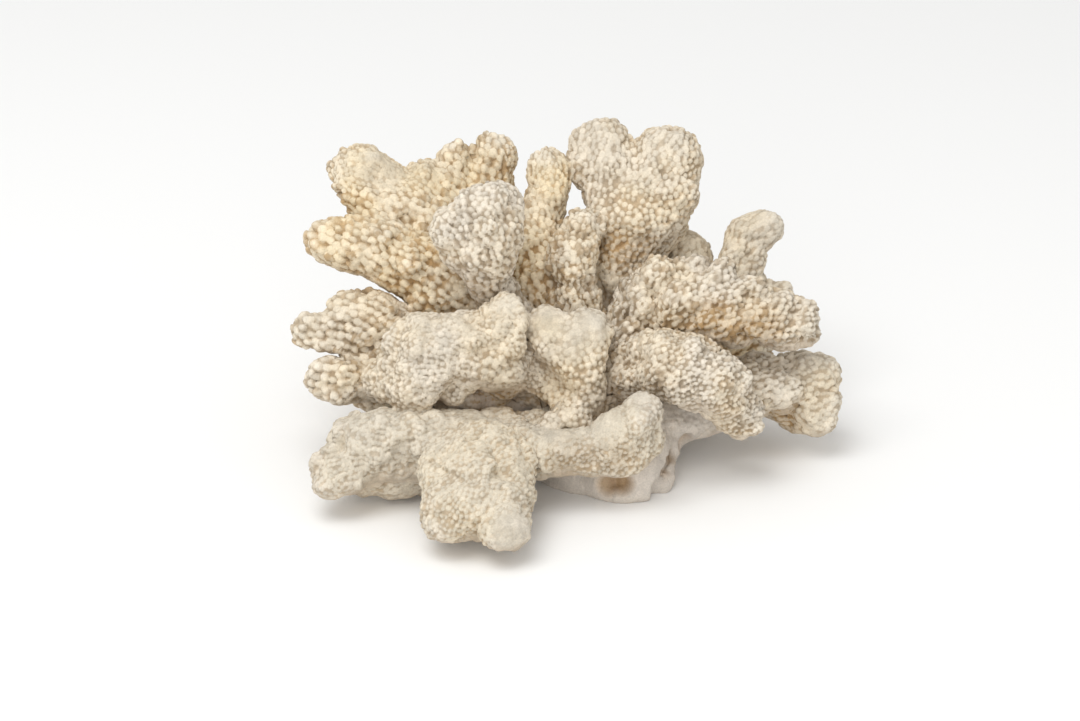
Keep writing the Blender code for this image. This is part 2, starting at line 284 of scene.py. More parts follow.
def surveySkin(skin):
    coarse = coarseCopy(skin)
    values = np.stack([openness(coarse.data), tipness(coarse.data)], 1)
    tree = KDTree(len(coarse.data.vertices))
    for vertex in coarse.data.vertices:
        tree.insert(vertex.co, vertex.index)
    tree.balance()
    read = np.empty((len(skin.data.vertices), 2))
    for vertex in skin.data.vertices:
        near = tree.find_n(vertex.co, surveyPlan["neighbours"])
        weights = np.array([1 / (hit[2] + surveyPlan["blendMm"] * mm) for hit in near])
        read[vertex.index] = weights @ values[[hit[1] for hit in near]] / weights.sum()
    bpy.data.objects.remove(coarse)
    return read[:, 0], read[:, 1]


def nearestBranches(mesh):
    # the index of the branch that each face lies on
    middles = arrayOf(mesh.polygons, "center", 3)
    best = np.full(len(middles), np.inf)
    owner = np.zeros(len(middles), np.int32)
    margin = 6 * mm
    for index, name in enumerate(branchNames):
        low, high = (np.array(corner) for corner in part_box(name))
        inside = ((middles > low - margin) & (middles < high + margin)).all(axis=1)
        tree = branchTrees[name]
        for face in np.nonzero(inside)[0]:
            distance = tree.find_nearest(Vector(middles[face]))[3]
            if distance < best[face]:
                best[face] = distance
                owner[face] = index
    return owner


def facePairs(mesh):
    # the two faces on each side of every edge
    edgeOfLoop = arrayOf(mesh.loops, "edge_index", 1, np.int32)
    sizes = arrayOf(mesh.polygons, "loop_total", 1, np.int32)
    faceOfLoop = np.repeat(np.arange(len(sizes)), sizes)
    order = np.argsort(edgeOfLoop, kind="stable")
    return faceOfLoop[order].reshape(-1, 2)


def settleOwners(mesh, owner):
    # evens out the borders, so that no branch keeps a crumb inside another's area
    pairs = facePairs(mesh)
    rows = np.arange(len(owner))
    for _ in range(surveyPlan["borderRounds"]):
        votes = np.zeros((len(owner), len(branchNames)), np.float32)
        np.add.at(votes, (pairs[:, 0], owner[pairs[:, 1]]), 1)
        np.add.at(votes, (pairs[:, 1], owner[pairs[:, 0]]), 1)
        votes[rows, owner] += surveyPlan["borderHold"]
        owner = votes.argmax(axis=1).astype(np.int32)
    while True:
        patch = rows.copy()
        same = owner[pairs[:, 0]] == owner[pairs[:, 1]]
        joined = pairs[same]
        while True:
            before = patch.copy()
            lower = np.minimum(patch[joined[:, 0]], patch[joined[:, 1]])
            np.minimum.at(patch, joined[:, 0], lower)
            np.minimum.at(patch, joined[:, 1], lower)
            patch = patch[patch]
            if (patch == before).all():
                break
        sizes = np.bincount(patch, minlength=len(rows))
        largest = {}
        for root in np.nonzero(sizes)[0]:
            held = largest.get(owner[root])
            if held is None or sizes[root] > sizes[held]:
                largest[owner[root]] = root
        crumbs = ~np.isin(patch, list(largest.values()))
        if not crumbs.any():
            return owner
        edge = crumbs[pairs[:, 0]] != crumbs[pairs[:, 1]]
        for first, second in pairs[edge]:
            if crumbs[first] == crumbs[second]:
                continue            # joined to its neighbour already
            inside, outside = (first, second) if crumbs[first] else (second, first)
            owner[patch == patch[inside]] = owner[outside]
            patch[patch == patch[inside]] = patch[outside]
            crumbs = ~np.isin(patch, list(largest.values()))


skinOpen, skinTip = surveySkin(skin)
skinOwner = settleOwners(skin.data, nearestBranches(skin.data))
print("skin surveyed: open", np.percentile(skinOpen, [5, 50, 95]).round(2),
      "tip", np.percentile(skinTip, [5, 50, 95]).round(2))


# the beads that cover the branches, and where they are worn away
beadPlan = {
    "coarseMm": 3.6,            # distance from bead to bead on the big-beaded branches
    "middleMm": 2.9,
    "fineMm": 2.3,
    "heightShare": 0.75,        # height of a bead against that distance
    "spreadShare": 0.61,        # its radius against that distance
    "sinkShare": 0.62,          # how much of a bead's height lies below the branch's own surface
    "shakeShare": 0.4,          # how far its outline wavers against that distance
    "leanShare": 0.35,          # how far a bead leans outwards against its height
    "ovalShare": 0.3,           # how much longer a bead is along the branch
    "trunkMm": (-10, 20, 20),   # where the branches grow from
    "flatness": (2.5, 3.4),     # of a bead's top, from the fine to the coarse ones
    "radiusSpread": (0.78, 1.1),
    "heightSpread": (0.65, 1.2),
    "shakeScale": 420.0,
    "grainScale": 750.0,
    "rowShare": 0.25,           # how much flatter they are in rows
    "relaxRounds": 8,           # rounds that even the beads out
    "lumpMm": 11.0,             # distance between the lumps under the beads
    "lumpHeightMm": 5.5,
    "grainMm": 0.3,             # height of the rough grain on everything
    "seed": 7,
}

# beads: distance in mm. wear: 0 sharp to 1 gone. warm: 0 grey to 1 yellow. lumps: 0 to 1
branchLooks = {
    "back_branch": {"beads": 3.0, "wear": 0.15, "warm": 0.6, "lumps": 0.5},
    "back_left_branch": {"beads": 3.6, "wear": 0.1, "warm": 0.7, "lumps": 0.4},
    "back_low_branch": {"beads": 3.0, "wear": 0.25, "warm": 0.5, "lumps": 0.5},
    "back_right_branch": {"beads": 3.6, "wear": 0.15, "warm": 0.55, "lumps": 0.4},
    "centre_knob": {"beads": 2.9, "wear": 0.4, "warm": 0.3, "lumps": 0.3},
    "crown_branch": {"beads": 2.9, "wear": 0.15, "warm": 0.3, "lumps": 0.35},
    "crown_spur": {"beads": 2.9, "wear": 0.05, "warm": 0.25, "lumps": 0.6},
    "front_arm": {"beads": 2.3, "wear": 0.5, "warm": 0.35, "lumps": 0.9},
    "front_finger": {"beads": 2.3, "wear": 0.45, "warm": 0.3, "lumps": 0.6},
    "front_foot": {"beads": 2.3, "wear": 0.4, "warm": 0.5, "lumps": 0.9},
    "holdfast": {"beads": 2.9, "wear": 0.75, "warm": 0.3, "lumps": 0.3},
    "left_front_lobe": {"beads": 2.3, "wear": 0.4, "warm": 0.2, "lumps": 0.8},
    "left_hand": {"beads": 3.6, "wear": 0.12, "warm": 0.25, "lumps": 0.5},
    "middle_knob": {"beads": 2.7, "wear": 0.2, "warm": 0.1, "lumps": 0.6},
    "right_arm": {"beads": 2.9, "wear": 0.05, "warm": 0.2, "lumps": 1.0},
    "right_back_knob": {"beads": 2.9, "wear": 0.4, "warm": 0.2, "lumps": 0.4},
    "right_finger": {"beads": 2.9, "wear": 0.4, "warm": 0.25, "lumps": 0.4},
    "right_front_knob": {"beads": 2.3, "wear": 0.15, "warm": 0.15, "lumps": 0.9},
    "right_low_hand": {"beads": 2.9, "wear": 0.3, "warm": 0.2, "lumps": 0.8},
    "tall_finger": {"beads": 2.9, "wear": 0.12, "warm": 0.6, "lumps": 0.4},
    "upper_left_palm": {"beads": 3.6, "wear": 0.1, "warm": 0.6, "lumps": 0.4},
}

# places worn smoother than the rest: x, y, z and radius in mm, and by how much
wornSpots = [
    (-27, -7, 72, 12, 0.75),    # centre knob's domes and the saddle between them
    (-9, -9, 70, 12, 0.75),
    (-17, -12, 62, 9, 0.6),
    (-21, -33, 35, 14, 0.7),    # front finger's top
    (-2, -38, 40, 11, 0.7),
    (10, -32, 49, 8, 0.4),
    (-54, -20, 37, 15, 0.6),    # hump of the front arm
    (-41, -89, 17, 14, 0.8),    # front foot's right lobe
    (-66, -16, 73, 16, 0.3),    # left front lobe's top and its knob
    (-44, -10, 76, 9, 0.4),
    (-80, 62, 111, 13, 0.5),    # web and knob of the upper left palm
    (-97, 58, 113, 14, 0.6),
    (-108, 57, 115, 11, 0.4),
    (-4, 66, 124, 15, 0.45),    # crown's two knobs and its front
    (23, 63, 122, 15, 0.4),
    (12, 53, 109, 12, 0.3),
    (-26, 56, 115, 12, 0.4),    # top of the tall finger
    (39, 64, 77, 13, 0.35),     # knob behind the right arm
    (64, 63, 86, 13, 0.4),      # tip of the right finger
    (86, 16, 38, 12, 0.35),     # low right hand
    (88, 9, 23, 11, 0.35),
    (-112, 13, 72, 10, 0.25),   # left hand's upper lobe and finger tips
    (-127, 4, 64, 8, 0.25),
    (-117, -10, 48, 7, 0.25),
    (-76, -20, 74, 9, 0.2),     # left front lobe's top
]

# places with beads of another size: x, y, z and radius in mm, and the beads' distance
beadSpots = [
    (-48, -17, 55, 11, 3.6),    # under the left front lobe
    (-31, 29, 79, 12, 3.6),     # low on the tall finger
    (-53, 2, 84, 10, 3.4),      # under the middle knob
    (13, 42, 95, 15, 3.1),      # the crown's rows
    (43, 4, 67, 16, 3.1),       # the right arm from below
    (-89, 62, 111, 18, 2.5),    # the palm's web and knob
    (-108, 57, 115, 15, 2.5),
    (-40, 79, 110, 10, 2.5),
    (-26, 56, 114, 10, 2.5),    # top of the tall finger
    (22, -21, 56, 10, 3.0),     # low on the right front knob
]

# places where the beads lie flat in rows: x, y, z and radius in mm, and how much
rowSpots = [
    (13, 42, 95, 26, 1),        # front of the crown
    (6, 48, 86, 22, 1),
    (25, 55, 112, 20, 0.5),
]

# small pits and dents: x, y, z, radius and depth in mm
pits = [
    (-114, 54, 103, 4, 3),
    (-117, 59, 108, 3, 1.5),
    (-89, -21, 59, 3.5, 2.5),
    (-84, 43, 97, 6, 2.5),
    (-26, 53, 108, 2, 1.2),
    (-29, 52, 106, 2, 1.2),
    (-58, 78, 114, 5, 4),       # between the palm's two small fingers
    (-57, 76, 110, 4, 2),
    (-45, 0, 114, 3, 1.8),
    (-50, -4, 103, 4, 1.8),
    (-46, -11, 78, 3.5, 2),
    (-2, -28, 8, 6, 4),         # the foot's recess
    (4, -28, 9, 6.5, 5),
    (21, -18, 8, 5, 3.5),       # the channel in the foot's broken side
    (24, -14, 10, 5, 4),
    (27, -9, 13, 5, 4),
    (31, 0, 14, 5, 3.5),
    (24, 7, 71, 4, 2),
    (40, 6, 72, 4, 2),
    (52, -24, 52, 4, 1.5),
]


# brown in the deep corners and under the branches, partly brown stain and partly painted shade
# where the light does not reach: x, y, z and radius in mm, and strength
shadeAndStainSpots = [
    (-2, -28, 8, 7, 0.7),       # the foot's recess and its channel
    (4, -28, 9, 7, 0.8),
    (22, -17, 9, 5, 0.4),
    (26, -10, 12, 5, 0.5),
    (31, 0, 14, 5, 0.4),
    (13, 44, 84, 11, 0.4),      # under the crown's beads
    (3, 42, 84, 12, 0.55),
    (-30, 26, 72, 10, 0.3),     # low on the tall finger
    (-54, 3, 83, 9, 0.35),      # under the middle knob
    (-50, -2, 34, 22, 0.7),     # the wall under the left front lobe
    (0, -2, 37, 9, 0.4),        # beside the centre knob
    (-33, 1, 33, 11, 0.5),
    (74, 20, 18, 13, 0.7),      # behind the low right hand
    (43, 4, 66, 16, 0.6),       # the right arm from below
    (60, 4, 63, 14, 0.6),
    (-15, -42, 24, 16, 0.35),   # the front finger from below
    (2, -40, 28, 12, 0.35),
]


# from where to where each thing shows, and how much it does
dressPlan = {
    "blendRounds": 12,          # how far a branch's own look runs over its joints
    "spotCore": 0.35,           # share of a spot's radius that has its full strength
    "spotSolid": 0.5,           # strength from which a spot sets the beads and the rows
    "tip": (2.4, 4.2),          # mm that a point sinks when the whole is smoothed hard
    "exposedOpen": (0.6, 0.95),
    "exposedUp": (0.2, 0.9),    # how far the surface looks up
    "under": (0.35, 0.85),      # and down
    "hidden": (-0.36, -0.18),   # openness, less than nothing
    "footMm": (26, 14),         # height where the foot's bare break ends
    "footFade": 1.2,            # and how far past the foot's radius
    "exposedWear": 0.15,
    "tipWear": 0.12,
    "underWear": 0.6,
    "hiddenWear": 0.15,
    "wornLumps": 0.7,           # how much of the lumps a worn place loses
    # painted shade on the surfaces that look down, less of it on the foot
    "downShade": (-0.1, 0.8),
    "downShadeShare": 0.2,
    "footShadeCut": 0.6,
    "tipBeadsMm": 0.4,          # how much finer the beads are at a tip
    "underBare": 0.6,
}


def spreadLook(mesh, owner, key):
    # a branch's own value at each point, blended over the joints
    ends = arrayOf(mesh.edges, "vertices", 2, np.int32)
    corners = arrayOf(mesh.loops, "vertex_index", 1, np.int32)
    sizes = arrayOf(mesh.polygons, "loop_total", 1, np.int32)
    values = np.array([branchLooks[name][key] for name in branchNames])[owner]
    total = np.bincount(corners, np.repeat(values, sizes), len(mesh.vertices))
    values = total / np.bincount(corners, minlength=len(mesh.vertices))
    degree = np.bincount(ends.ravel(), minlength=len(values))
    for _ in range(dressPlan["blendRounds"]):
        total = np.bincount(ends[:, 0], values[ends[:, 1]], len(values))
        total += np.bincount(ends[:, 1], values[ends[:, 0]], len(values))
        values = (values + total / degree) / 2
    return values


def nearSpot(places, spot):
    # 1 in the middle of the spot, 0 past its radius
    distance = np.linalg.norm(places - np.array(spot[:3]) * mm, axis=1)
    return 1 - smoothStep(distance, dressPlan["spotCore"] * spot[3] * mm, spot[3] * mm)


def dressSkin(skin):
    mesh = skin.data
    places = arrayOf(mesh.vertices, "co", 3)
    normals = arrayOf(mesh.vertices, "normal", 3)
    up = normals[:, 2]
    looks = ("beads", "wear", "warm", "lumps")
    beads, wear, warm, lumps = (spreadLook(mesh, skinOwner, key) for key in looks)
    plan = dressPlan
    tip = smoothStep(skinTip, *plan["tip"])
    exposed = smoothStep(skinOpen, *plan["exposedOpen"]) * smoothStep(up, *plan["exposedUp"])
    under = smoothStep(-up, *plan["under"])
    hidden = smoothStep(-skinOpen, *plan["hidden"])
    for spot in wornSpots:
        near = nearSpot(places, spot)
        wear = np.maximum(wear, wear + (1 - wear) * spot[4] * near)
        lumps = lumps * (1 - plan["wornLumps"] * spot[4] * near)
    wear = wear + plan["exposedWear"] * exposed + plan["tipWear"] * tip
    wear = wear + plan["underWear"] * under + plan["hiddenWear"] * hidden
    foot = smoothStep(-places[:, 2], *(-height * mm for height in plan["footMm"]))
    reach = np.linalg.norm(places[:, :2] - np.array(skinPlan["footMm"]) * mm, axis=1) / mm
    radius = skinPlan["footRadiusMm"]
    foot *= 1 - smoothStep(reach, radius, plan["footFade"] * radius)
    moved = places.astype(np.float64)
    for pit in pits:
        moved -= normals * (nearSpot(places, pit) * pit[4] * mm)[:, None]
    mesh.vertices.foreach_set("co", moved.astype(np.float32).ravel())
    mesh.update()
    # painted shade and stain: surfaces that look down get painted shade, less on the foot, and the
    # spots add brown in corners and under the branches, partly stain and partly painted shade
    shadeAndStain = plan["downShadeShare"] * smoothStep(-up, *plan["downShade"])
    shadeAndStain = shadeAndStain * (1 - plan["footShadeCut"] * foot)
    for spot in shadeAndStainSpots:
        shadeAndStain = np.maximum(shadeAndStain, nearSpot(places, spot) * spot[4])
    addAttribute(mesh, "shadeAndStain", shadeAndStain)
    rows = np.zeros(len(places))
    for spot in rowSpots:
        rows = np.maximum(rows, smoothStep(nearSpot(places, spot), 0, plan["spotSolid"]) * spot[4])
    addAttribute(mesh, "rows", rows)
    for spot in beadSpots:
        beads += (spot[4] - beads) * smoothStep(nearSpot(places, spot), 0, plan["spotSolid"])
    addAttribute(mesh, "beadSize", beads - plan["tipBeadsMm"] * tip)
    addAttribute(mesh, "relief", np.clip(1 - wear, 0.0, 1) * (1 - foot))
    addAttribute(mesh, "lumps", lumps * (1 - foot))
    addAttribute(mesh, "warm", warm)
    addAttribute(mesh, "tip", tip)
    addAttribute(mesh, "open", skinOpen)
    addAttribute(mesh, "bare", np.clip(foot + under * plan["underBare"], 0, 1))
    addAttribute(mesh, "owner", skinOwner, "FACE", "INT")


def named(tree, name, kind="FLOAT"):
    return put(tree, "GeometryNodeInputNamedAttribute", {"Name": name}, data_type=kind).outputs[0]


def store(tree, geometry, name, value):
    node = put(tree, "GeometryNodeStoreNamedAttribute", {"Geometry": geometry, "Name": name},
               data_type="FLOAT", domain="POINT")
    tree.links.new(value, node.inputs["Value"])
    return node.outputs[0]


def knobs(tree, place, distance, height):
    # domes that stand shoulder to shoulder, with creases between them
    reach = 0.8                 # a dome's radius against the distance between domes
    level = 0.6                 # what part of its height lies below the old surface
    scale = maths(tree, "DIVIDE", 1.0, distance)
    cells = put(tree, "ShaderNodeTexVoronoi", {"Vector": place, "Scale": scale})
    share = maths(tree, "DIVIDE", cells.outputs["Distance"], reach)
    square = maths(tree, "SUBTRACT", 1.0, maths(tree, "MULTIPLY", share, share), clamp=True)
    dome = maths(tree, "SUBTRACT", maths(tree, "SQRT", square), level)
    return maths(tree, "MULTIPLY", dome, height)


def raiseLumps(tree, skin, distance, height):
    # knobs in two sizes, and slow waves along the branches
    smallDistance = 0.5         # the small knobs against the large ones
    smallHeight = 0.4
    waveScale = 0.45            # the waves' scale against the knobs'
    waveRest = 0.4              # how much of them a branch without knobs keeps
    place = put(tree, "GeometryNodeInputPosition").outputs[0]
    scale = maths(tree, "DIVIDE", 1.0, distance)
    bend = put(tree, "ShaderNodeTexNoise", {"Scale": scale}).outputs["Color"]
    bend = scaled(tree, vectorMaths(tree, "SUBTRACT", bend, (0.5, 0.5, 0.5)), distance)
    bent = vectorMaths(tree, "ADD", place, bend)
    rise = knobs(tree, bent, distance, height)
    small = knobs(tree, bent, maths(tree, "MULTIPLY", distance, smallDistance),
                  maths(tree, "MULTIPLY", height, smallHeight))
    rise = maths(tree, "MULTIPLY", maths(tree, "ADD", rise, small), named(tree, "lumps"))
    scale = maths(tree, "DIVIDE", waveScale, distance)
    swell = put(tree, "ShaderNodeTexNoise", {"Scale": scale, "Detail": 2.0})
    waves = maths(tree, "MULTIPLY", maths(tree, "SUBTRACT", swell.outputs[0], 0.5), height)
    waves = maths(tree, "MULTIPLY", waves, maths(tree, "ADD", named(tree, "lumps"), waveRest))
    normal = put(tree, "GeometryNodeInputNormal").outputs[0]
    offset = scaled(tree, normal, maths(tree, "ADD", rise, waves))
    return put(tree, "GeometryNodeSetPosition", {"Geometry": skin, "Offset": offset}).outputs[0]


def scatter(tree, skin, low, high, spacing, seed):
    # beads about one spacing apart on the faces whose bead size lies between low and high
    leastRelief = 0.02          # barer places have none
    crowd = 5.0                 # how many are tried in the square of one spacing
    leastGap = 0.8              # between two beads, against the spacing
    patchScale = 90.0
    tightest, loosest = 0.86, 1.14
    size = named(tree, "beadSize")
    inside = maths(tree, "MULTIPLY", maths(tree, "GREATER_THAN", size, low),
                   maths(tree, "LESS_THAN", size, high))
    raised = maths(tree, "GREATER_THAN", named(tree, "relief"), leastRelief)
    density = maths(tree, "DIVIDE", crowd, maths(tree, "MULTIPLY", spacing, spacing))
    points = put(tree, "GeometryNodeDistributePointsOnFaces", {
        "Mesh": skin,
        "Selection": maths(tree, "MULTIPLY", inside, raised),
        "Distance Min": maths(tree, "MULTIPLY", spacing, leastGap),
        "Density Max": density,
        "Seed": seed,
    }, distribute_method="POISSON")
    patches = put(tree, "ShaderNodeTexNoise", {"Scale": patchScale}).outputs[0]
    uneven = ramp(tree, patches, 0.3, 0.7, tightest, loosest)
    spacing = maths(tree, "MULTIPLY", spacing, uneven)
    return store(tree, points.outputs["Points"], "spacing", spacing)


def relax(tree, points, skin, rounds):
    # pushes each bead away from its nearest neighbour, and back onto the skin
    wanted = 1.06               # distance against the spacing
    pushShare = 0.45            # part of what is short that one round makes up
    start = tree.nodes.new("GeometryNodeRepeatInput")
    end = tree.nodes.new("GeometryNodeRepeatOutput")
    start.pair_with_output(end)
    tree.links.new(points, start.inputs["Geometry"])
    tree.links.new(rounds, start.inputs["Iterations"])
    place = put(tree, "GeometryNodeInputPosition").outputs[0]
    nearest = put(tree, "GeometryNodeIndexOfNearest", {"Position": place}).outputs["Index"]
    other = put(tree, "GeometryNodeSampleIndex", {
        "Geometry": start.outputs["Geometry"], "Value": place, "Index": nearest,
    }, data_type="FLOAT_VECTOR").outputs[0]
    away = vectorMaths(tree, "SUBTRACT", place, other)
    short = maths(tree, "SUBTRACT", maths(tree, "MULTIPLY", named(tree, "spacing"), wanted),
                  vectorMaths(tree, "LENGTH", away))
    step = maths(tree, "MULTIPLY", maths(tree, "MAXIMUM", short, 0.0), pushShare)
    moved = put(tree, "GeometryNodeSetPosition", {
        "Geometry": start.outputs["Geometry"],
        "Offset": scaled(tree, vectorMaths(tree, "NORMALIZE", away), step),
    }).outputs[0]
    onSkin = put(tree, "GeometryNodeProximity", {0: skin}, target_element="FACES").outputs[0]
    settled = put(tree, "GeometryNodeSetPosition", {"Geometry": moved, "Position": onSkin})
    tree.links.new(settled.outputs[0], end.inputs["Geometry"])
    return end.outputs["Geometry"]


beadInputs = (
    "Coarse spacing", "Middle spacing", "Fine spacing", "Height share", "Spread share",
    "Sink share", "Shake share", "Lean share", "Oval share", "Row share", "Lump distance",
    "Lump height", "Grain height", "Trunk X", "Trunk Y", "Trunk Z",
)
beadCounts = ("Relax rounds", "Seed")
beadClasses = (                 # bead sizes in millimetres, from and to
    (3.2, 9.0, "Coarse spacing"),
    (2.6, 3.2, "Middle spacing"),
    (0.0, 2.6, "Fine spacing"),
)


def buildBeadTree(material):
    tree = bpy.data.node_groups.new("coralBeads", "GeometryNodeTree")
    tree.interface.new_socket("Geometry", in_out="INPUT", socket_type="NodeSocketGeometry")
    sockets = {}
    for names, kind in ((beadInputs, "NodeSocketFloat"), (beadCounts, "NodeSocketInt")):
        for name in names:
            sockets[name] = tree.interface.new_socket(name, in_out="INPUT", socket_type=kind)
    tree.interface.new_socket("Geometry", in_out="OUTPUT", socket_type="NodeSocketGeometry")
    given = put(tree, "NodeGroupInput").outputs
    skin = raiseLumps(tree, given["Geometry"], given["Lump distance"], given["Lump height"])

    # where the beads stand
    seed = given["Seed"]
    joined = tree.nodes.new("GeometryNodeJoinGeometry")
    for low, high, spacing in beadClasses:
        tree.links.new(scatter(tree, skin, low, high, given[spacing], seed), joined.inputs[0])
    beads = relax(tree, joined.outputs[0], skin, given["Relax rounds"])

    # each point of the finer skin finds its bead
    split = put(tree, "GeometryNodeSubdivisionSurface", {"Mesh": skin, "Level": 1}).outputs[0]
    place = put(tree, "GeometryNodeInputPosition").outputs[0]
    normal = put(tree, "GeometryNodeInputNormal").outputs[0]
    shake = put(tree, "ShaderNodeTexNoise", {"Scale": beadPlan["shakeScale"], "Detail": 1.0})
    shake = vectorMaths(tree, "SUBTRACT", shake.outputs["Color"], (0.5, 0.5, 0.5))
    reach = maths(tree, "MULTIPLY", named(tree, "beadSize"), given["Shake share"])
    shake = scaled(tree, shake, reach)
    shaken = vectorMaths(tree, "ADD", place, shake)
    index = put(tree, "GeometryNodeSampleNearest", {
        "Geometry": beads, "Sample Position": shaken}, domain="POINT").outputs[0]

    def ofBead(value, kind):
        inputs = {"Geometry": beads, "Value": value, "Index": index}
        return put(tree, "GeometryNodeSampleIndex", inputs, data_type=kind).outputs[0]

    beadPlace = ofBead(place, "FLOAT_VECTOR")
    spacing = ofBead(named(tree, "spacing"), "FLOAT")
    chance = ofBead(put(tree, "FunctionNodeRandomValue", {"Seed": seed}).outputs[1], "FLOAT")
    trunk = put(tree, "ShaderNodeCombineXYZ", {
        0: given["Trunk X"], 1: given["Trunk Y"], 2: given["Trunk Z"]}).outputs[0]
    growth = vectorMaths(tree, "NORMALIZE", vectorMaths(tree, "SUBTRACT", place, trunk))
    away = vectorMaths(tree, "SUBTRACT", shaken, beadPlace)
    rows = maths(tree, "MULTIPLY", named(tree, "rows"), given["Row share"])
    oval = maths(tree, "SUBTRACT", given["Oval share"], rows)
    along = maths(tree, "MULTIPLY", vectorMaths(tree, "DOT_PRODUCT", away, growth), oval)
    away = vectorMaths(tree, "SUBTRACT", away, scaled(tree, growth, along))
    radius = maths(tree, "MULTIPLY", spacing, given["Spread share"])
    uneven = ramp(tree, chance, 0.0, 1.0, *beadPlan["radiusSpread"])
    radius = maths(tree, "MULTIPLY", radius, uneven)
    share = maths(tree, "DIVIDE", vectorMaths(tree, "LENGTH", away), radius)
    flatness = ramp(tree, spacing, beadPlan["fineMm"] * mm, beadPlan["coarseMm"] * mm,
                    *beadPlan["flatness"])
    square = maths(tree, "SUBTRACT", 1.0, maths(tree, "POWER", share, flatness), clamp=True)
    dome = maths(tree, "SQRT", square)
    second = maths(tree, "FRACT", maths(tree, "MULTIPLY", chance, 7.0))
    uneven = ramp(tree, second, 0.0, 1.0, *beadPlan["heightSpread"])
    height = maths(tree, "MULTIPLY", dome, uneven)
    full = maths(tree, "MULTIPLY", spacing, given["Height share"])
    full = maths(tree, "MULTIPLY", full, named(tree, "relief"))
    height = maths(tree, "MULTIPLY", height, full)
    sunk = maths(tree, "MULTIPLY", full, given["Sink share"])

    # the rough grain
    grain = put(tree, "ShaderNodeTexNoise", {
        "Scale": beadPlan["grainScale"], "Detail": 2.0, "Roughness": 0.65})
    rough = maths(tree, "SUBTRACT", grain.outputs[0], 0.5)
    rough = maths(tree, "MULTIPLY", rough, given["Grain height"])
    rough = maths(tree, "MULTIPLY", rough, 2.0)
    rise = maths(tree, "ADD", maths(tree, "SUBTRACT", height, sunk), rough)
    lean = scaled(tree, growth, maths(tree, "MULTIPLY", height, given["Lean share"]))
    offset = vectorMaths(tree, "ADD", scaled(tree, normal, rise), lean)
    raised = put(tree, "GeometryNodeSetPosition", {"Geometry": split, "Offset": offset}).outputs[0]

    kept = store(tree, raised, "edge", share)
    kept = store(tree, kept, "bead", chance)
    real = put(tree, "GeometryNodeRealizeInstances", {0: kept}).outputs[0]
    done = put(tree, "GeometryNodeSetMaterial", {"Geometry": real, "Material": material}).outputs[0]
    tree.links.new(done, put(tree, "NodeGroupOutput").inputs[0])
    return tree, sockets


def growBeads(skin, material):
    tree, sockets = buildBeadTree(material)
    settings = {
        "Coarse spacing": beadPlan["coarseMm"] * mm,
        "Middle spacing": beadPlan["middleMm"] * mm,
        "Fine spacing": beadPlan["fineMm"] * mm,
        "Height share": beadPlan["heightShare"],
        "Spread share": beadPlan["spreadShare"],
        "Sink share": beadPlan["sinkShare"],
        "Shake share": beadPlan["shakeShare"] * mm,
        "Lean share": beadPlan["leanShare"],
        "Oval share": beadPlan["ovalShare"],
        "Row share": beadPlan["rowShare"],
        "Lump distance": beadPlan["lumpMm"] * mm,
        "Lump height": beadPlan["lumpHeightMm"] * mm,
        "Grain height": beadPlan["grainMm"] * mm,
        "Trunk X": beadPlan["trunkMm"][0] * mm,
        "Trunk Y": beadPlan["trunkMm"][1] * mm,
        "Trunk Z": beadPlan["trunkMm"][2] * mm,
        "Relax rounds": beadPlan["relaxRounds"],
        "Seed": beadPlan["seed"],
    }
    modifier = skin.modifiers.new("beads", "NODES")
    modifier.node_group = tree
    for name, value in settings.items():
        modifier[sockets[name].identifier] = value
    mesh = plainMesh(skin)
    bpy.data.node_groups.remove(tree)
    print("beads grown:", len(mesh.polygons), "faces")


# materials: pale bead tops, tan between them that is partly painted shade, brown painted shade deep
# inside and under the branches mixed with brown stains, greyer on the tips
coralPlan = {
    "grey": (0.74, 0.67, 0.565),
    "warm": (0.82, 0.68, 0.44),
    "tip": (0.80, 0.73, 0.61),
    "gap": (0.50, 0.30, 0.11),
    "greyGap": (0.36, 0.28, 0.19),
    "shadeAndStainBrown": (0.45, 0.28, 0.12),
    "chalk": (0.66, 0.56, 0.45),
    "gapStrength": 1.0,
    "deepFrom": 0.38,           # openness where the painted shade brown begins
    "deepFull": 0.02,
    "tipShare": 0.7,
    "edge": (0.58, 1.02),       # where the gap begins and is full, against a bead's radius
    "shut": (0.02, 0.42),
    "openGap": 0.8,             # strength of the gaps, partly painted shade, where the skin lies open to the light
    "topShadeAndStain": 0.5,           # strength of the painted shade and stain brown on the beads' tops
    "patchScale": 38.0,
    "patchWarmth": 0.16,
    "chalkScale": 60.0,
    "beadTone": (0.91, 1.06),
    "speckleScale": 1300.0,
    "speckle": (0.9, 1.08),
    "blotchScale": 170.0,
    "blotch": (0.93, 1.05),
    "bareTone": 0.88,
    "roughness": 0.92,
    "specular": 0.25,
    "poreMm": 0.9,
    "poreDepthMm": 0.25,
    "poreShare": 0.6,
    "gritScale": 1900.0,
    "bumpStrength": 0.7,
}

wornPlan = coralPlan | {
    "grey": (0.68, 0.62, 0.52),
    "warm": (0.75, 0.66, 0.50),
    "tip": (0.73, 0.66, 0.56),
    "gapStrength": 0.8,
}

holdfastPlan = coralPlan | {
    "grey": (0.72, 0.66, 0.59),
    "warm": (0.72, 0.64, 0.53),
    "tip": (0.74, 0.68, 0.60),
    "chalk": (0.74, 0.67, 0.59),
    "gapStrength": 0.4,
}


